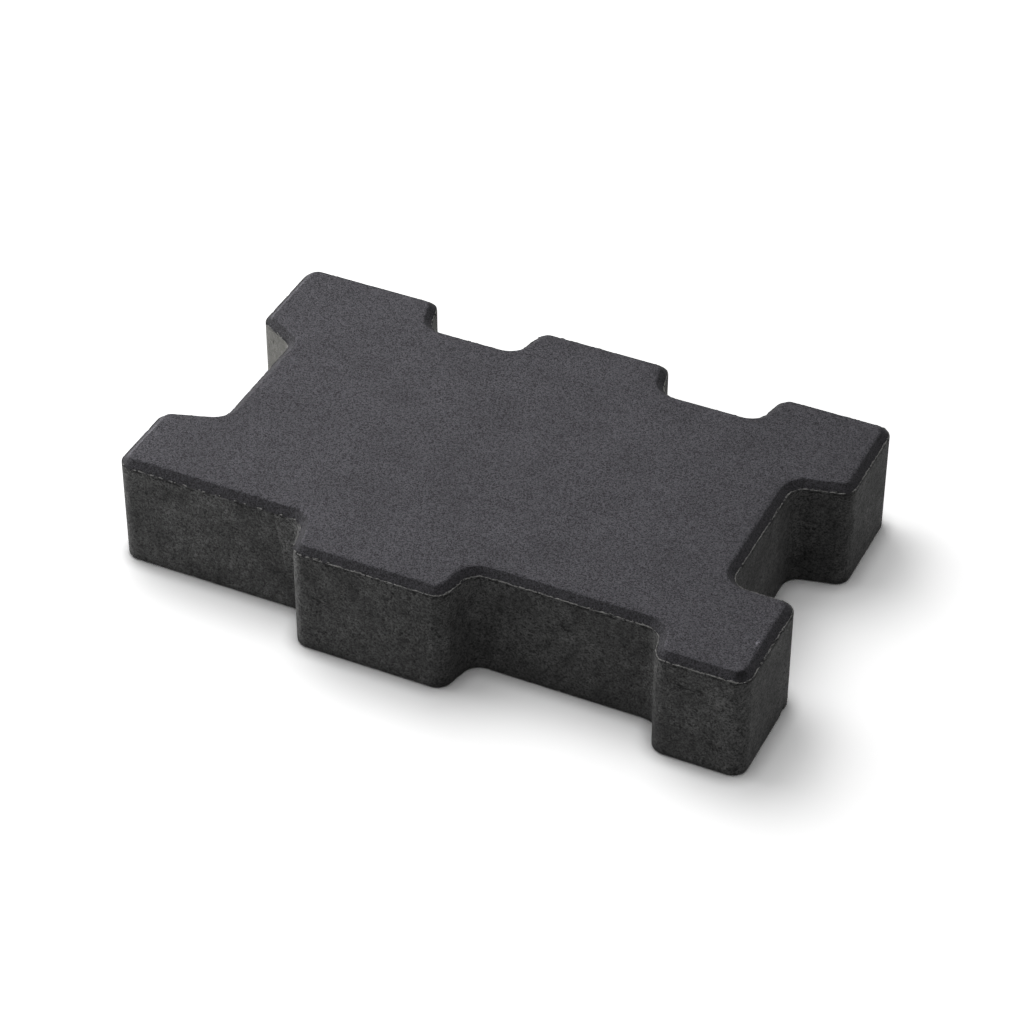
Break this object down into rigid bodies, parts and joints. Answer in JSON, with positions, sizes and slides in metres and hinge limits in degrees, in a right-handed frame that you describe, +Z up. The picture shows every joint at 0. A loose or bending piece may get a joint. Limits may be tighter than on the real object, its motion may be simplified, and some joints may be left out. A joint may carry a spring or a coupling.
{
  "type": "concrete paving stone",
  "caption": "Flat pressed concrete paving stone with a bevelled face edge, trapezoid lugs along both long sides and a notch in each end.",
  "frame": {"origin": "centre of the bounding box in plan, on the underside", "axes": "+X along the long side, +Y towards the side with three lugs, +Z up through the bevelled face"},
  "size_m": [0.336, 0.2106, 0.06],
  "materials": {
    "concrete": "matte, sandy, through-dyed anthracite"
  },
  "bodies": {
    "root": {"paving_stone": "concrete"}
  },
  "joints": []
}
